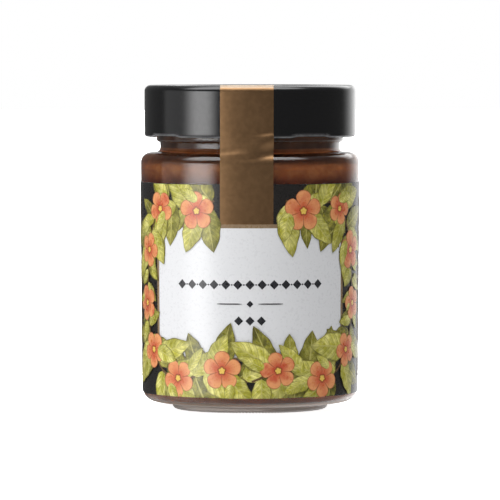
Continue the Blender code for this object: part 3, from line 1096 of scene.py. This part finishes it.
def make_print(looks):
    draw = random.Random(11)
    placed = []
    leaves, blossoms, stems, dark, bronze = (Sheet(placed) for _ in range(5))
    for side in (-1, 1):
        garland_half(leaves, blossoms, stems, side, draw)
    for sheet in (leaves, blossoms, stems):
        sheet.trim((0, LABEL_TOP - EDGE, 0), (0, 1, 0))
        sheet.trim((0, LABEL_BOTTOM + EDGE, 0), (0, -1, 0))
    make_ornament(dark)
    make_lattice(bronze)
    sheets = {
        "print_leaves": (leaves, looks["leaf"]),
        "print_blossoms": (blossoms, looks["blossom"]),
        "print_stems": (stems, looks["stem"]),
        "print_ornament": (dark, looks["dark"]),
        "print_lattice": (bronze, looks["lattice"]),
    }
    for name, (sheet, look) in sheets.items():
        bmesh.ops.remove_doubles(sheet.body, verts=sheet.body.verts, dist=SEAM)
        for vertex in sheet.body.verts:
            along, up, layer = vertex.co
            out = PAPER + INK_STEP * (layer + 1)
            vertex.co = on_label(along / LABEL_RADIUS, up, out)
        piece = new_piece(name, sheet.body, [look], "label")
        thicken(piece, INK, -1.0)


# The ornament in millimetres: the heights of its rows, the first row's spacing and its large and
# small lozenges, the rules' start, end and width, the lozenge between them, and the last row's
# spacing and lozenges
ORNAMENT_ROWS = (34.2, 29.2, 24.8)
CHAIN_SPACING = 1.6
CHAIN_SIZES = (1.25, 0.28)
RULE = (2.2, 8.8, 0.28)
MIDDLE_SIZE = 0.9
LAST_ROW = (3.0, 1.2)


def make_ornament(sheet):
    """Three rows of plain lozenges and rules on the panel."""
    first, second, third = (row * MM for row in ORNAMENT_ROWS)
    for index in range(-12, 13):
        size = CHAIN_SIZES[index % 2] * MM
        add_lozenge(sheet, Vector((CHAIN_SPACING * MM * index, first)), size, size)
    low, high, width = RULE
    for side in (-1, 1):
        rule = [Vector((side * mix(low, high, step / 12) * MM, second)) for step in range(13)]
        add_line(sheet, rule, width * MM, 0.5, 2)
    add_lozenge(sheet, Vector((0, second)), MIDDLE_SIZE * MM, MIDDLE_SIZE * MM)
    spacing, size = (part * MM for part in LAST_ROW)
    for index in (-1, 0, 1):
        add_lozenge(sheet, Vector((spacing * index, third)), size, size)


# The lattice on the sides, in millimetres: from, to, foot, head, and how wide and high a lozenge is
LATTICE = (41.0, 78.0, 9.0, 56.0)
LATTICE_CELL = (6.1667, 7.8333)
LATTICE_LINE = 0.2 * MM
LATTICE_FRAME = 0.35 * MM
LATTICE_LOZENGE = 0.8 * MM


def make_lattice(sheet):
    """A fine lattice of lozenges in a frame on each side of the label."""
    start, end, foot, head = (value * MM for value in LATTICE)
    wide, high = (value * MM for value in LATTICE_CELL)
    columns = round((end - start) / wide)
    rows = round((head - foot) / high)
    for side in (-1, 1):
        for row in range(rows):
            for column in range(columns):
                low = Vector((start + column * wide, foot + row * high))
                for one, other in (((0, 0), (1, 1)), ((0, 1), (1, 0))):
                    ends = [low + Vector((wide * a, high * b)) for a, b in (one, other)]
                    line = [ends[0].lerp(ends[1], step / 8) for step in range(9)]
                    line = [Vector((side * place.x, place.y)) for place in line]
                    add_line(sheet, line, LATTICE_LINE, 0.5, 2)
                centre = low + Vector((wide / 2, high / 2))
                centre.x *= side
                add_lozenge(sheet, centre, LATTICE_LOZENGE, LATTICE_LOZENGE, 3)
        frame_corners = [(start, foot), (end, foot), (end, head), (start, head), (start, foot)]
        for one, other in zip(frame_corners, frame_corners[1:]):
            ends = [Vector((side * place[0], place[1])) for place in (one, other)]
            line = [ends[0].lerp(ends[1], step / 60) for step in range(61)]
            add_line(sheet, line, LATTICE_FRAME, 0.5, 4)


# Studio


def make_world():
    """A soft studio: a softbox at the left front, dim bands beside it, a bright wall behind to the
    right, a backdrop and a high strip behind the jar, a panel overhead and light from below. The
    camera itself sees plain white."""
    world = bpy.data.worlds.new("studio")
    bpy.context.scene.world = world
    world.use_nodes = True
    world.node_tree.nodes.clear()
    sky = Nodes(world.node_tree)
    x, y, z = sky.split(sky.node("TexCoord").outputs["Generated"])
    azimuth = sky.math("DEGREES", sky.math("ARCTAN2", x, sky.times(y, -1.0)))
    behind = sky.math("DEGREES", sky.math("ARCTAN2", x, y))

    def band(where, low, rise, high, fall, size):
        up = sky.step(where, low, low + rise, 0.0, size)
        return sky.times(up, sky.step(where, high, high + fall, 1.0, 0.0))

    level = sky.step(sky.math("ABSOLUTE", z), *KEY_HEIGHT, 1.0, 0.0)
    key = sky.times(band(azimuth, *KEY_BAND), level)
    sides = sky.add(*[band(azimuth, *each) for each in (FRONT_BAND, WALL_BAND, LEFT_BAND)])
    backdrop = sky.step(sky.math("ABSOLUTE", azimuth), *BACKDROP[:2], 0.0, BACKDROP[2])
    sides = sky.times(sky.add(sides, backdrop), sky.step(z, *SIDE_HEIGHT, 1.0, 0.0))
    low, low_full, high_full, high = STRIP_HEIGHT
    strip = sky.times(sky.step(z, low, low_full), sky.step(z, high_full, high, 1.0, 0.0))
    sides = sky.add(sides, sky.times(strip, band(behind, *STRIP_BAND)))
    top = sky.step(z, *TOP_HEIGHT, AMBIENT, AMBIENT + TOP_LIGHT)
    below = sky.step(z, *BELOW_HEIGHT, BELOW_LIGHT, 0.0)
    overhead = 0.0
    for part, middle, reach in zip((x, y), OVERHEAD_MIDDLE, OVERHEAD_REACH):
        off = sky.math("DIVIDE", sky.math("SUBTRACT", part, middle), reach)
        overhead = sky.add(sky.times(off, off), overhead)
    overhead = sky.step(overhead, OVERHEAD_SOFT, 1.0, OVERHEAD_LIGHT, 0.0)
    overhead = sky.times(overhead, sky.math("GREATER_THAN", z, 0.0))
    total = sky.add(sky.add(key, sides), sky.add(top, overhead, below))
    seen = sky.node("LightPath").outputs["Is Camera Ray"]
    strength = sky.node("Mix", {0: seen, 2: total, 3: 1.0}, data_type="FLOAT").outputs[0]
    background = sky.node("Background", {"Color": (1.0, 1.0, 1.0), "Strength": strength})
    sky.node("OutputWorld", {"Surface": background.outputs[0]})


def make_floor():
    """The pale floor, which glows for the camera and throws no light on the jar."""
    body = bmesh.new()
    bmesh.ops.create_grid(body, x_segments=1, y_segments=1, size=6.0)
    mesh = bpy.data.meshes.new("floor")
    body.to_mesh(mesh)
    body.free()
    look = Look("pale_floor", Roughness=0.8, Base_Color=(0.9, 0.9, 0.9))
    look.feed("Emission Color", (1.0, 1.0, 1.0))
    seen = look.node("LightPath").outputs["Is Camera Ray"]
    look.feed("Emission Strength", look.times(seen, FLOOR_GLOW))
    mesh.materials.append(look.material)
    floor = bpy.data.objects.new("floor", mesh)
    floor.visible_glossy = False
    floor.visible_diffuse = False
    bpy.context.scene.collection.objects.link(floor)


def make_camera():
    data = bpy.data.cameras.new("camera")
    data.sensor_width = 36.0
    data.lens = LENS
    data.clip_start = 0.05
    camera = bpy.data.objects.new("camera", data)
    camera.location = (0.0, -CAMERA_DISTANCE, CAMERA_HEIGHT)
    aim = Vector((0.0, 0.0, CAMERA_AIM)) - camera.location
    camera.rotation_euler = aim.to_track_quat("-Z", "Y").to_euler()
    bpy.context.scene.collection.objects.link(camera)
    bpy.context.scene.camera = camera


def main():
    make_camera()
    make_world()
    make_floor()
    bpy.context.scene.view_settings.view_transform = "Standard"
    looks = make_looks()
    make_glass(looks)
    make_jam(looks)
    make_lid(looks)
    make_paper(looks)
    make_print(looks)


main()
